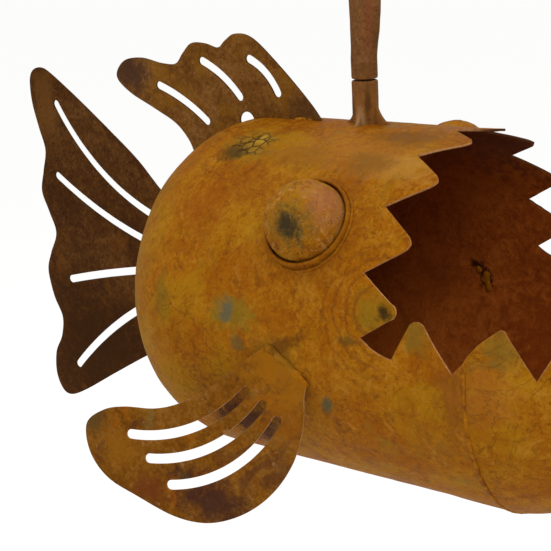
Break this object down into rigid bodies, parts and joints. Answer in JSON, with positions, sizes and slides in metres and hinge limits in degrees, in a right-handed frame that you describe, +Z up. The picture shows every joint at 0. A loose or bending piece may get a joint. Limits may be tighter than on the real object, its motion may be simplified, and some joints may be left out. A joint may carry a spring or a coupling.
{
  "type": "hanging fish garden ornament",
  "caption": "Rusty sheet-steel fish with an open toothed mouth, slotted fins and domed eyes, hung from a tube on a swivel.",
  "frame": {"origin": "centre of the hanging hole in the flattened top end of the hanger tube", "axes": "+X along the body from tail to mouth, +Y to the fish's left along the hanging hole, +Z up along the swivel axis"},
  "size_m": [0.7168, 0.4438, 0.4861],
  "materials": {
    "shell_rust": "weathered ochre rust, matt",
    "tail_rust": "dark brown rust, matt",
    "fin_rust": "brown rust with ochre patches, matt",
    "eye_rust": "dimpled ochre rust, satin",
    "weld_rust": "rusted weld bead",
    "tube_rust": "brown rust, matt",
    "pin_steel": "dark rusted steel"
  },
  "bodies": {
    "hanger": {"hanger_tube": "tube_rust", "hanger_bush": "tube_rust", "swivel_washer": "pin_steel"},
    "fish": {"rear_dome": "shell_rust", "barrel": "shell_rust", "chin_dome": "shell_rust", "tail_fin": "tail_rust", "dorsal_fin": "fin_rust", "right_pectoral_fin": "fin_rust", "left_pectoral_fin": "fin_rust", "right_eye_socket": "shell_rust", "left_eye_socket": "shell_rust", "right_eyeball": "eye_rust", "left_eyeball": "eye_rust", "right_eye_weld": "weld_rust", "left_eye_weld": "weld_rust", "rear_seam_weld": "weld_rust", "chin_seam_weld": "weld_rust", "tail_welds": "weld_rust", "dorsal_welds": "weld_rust", "right_fin_weld": "weld_rust", "left_fin_weld": "weld_rust", "stub_tube": "tube_rust", "stub_plug": "tube_rust", "stub_gussets": "tube_rust", "swivel_pin": "pin_steel"}
  },
  "joints": [
    {"name": "swivel", "type": "hinge", "parent": "hanger", "child": "fish", "pos_m": [0, 0, -0.1122], "axis": [0, 0, 1], "continuous": true}
  ]
}
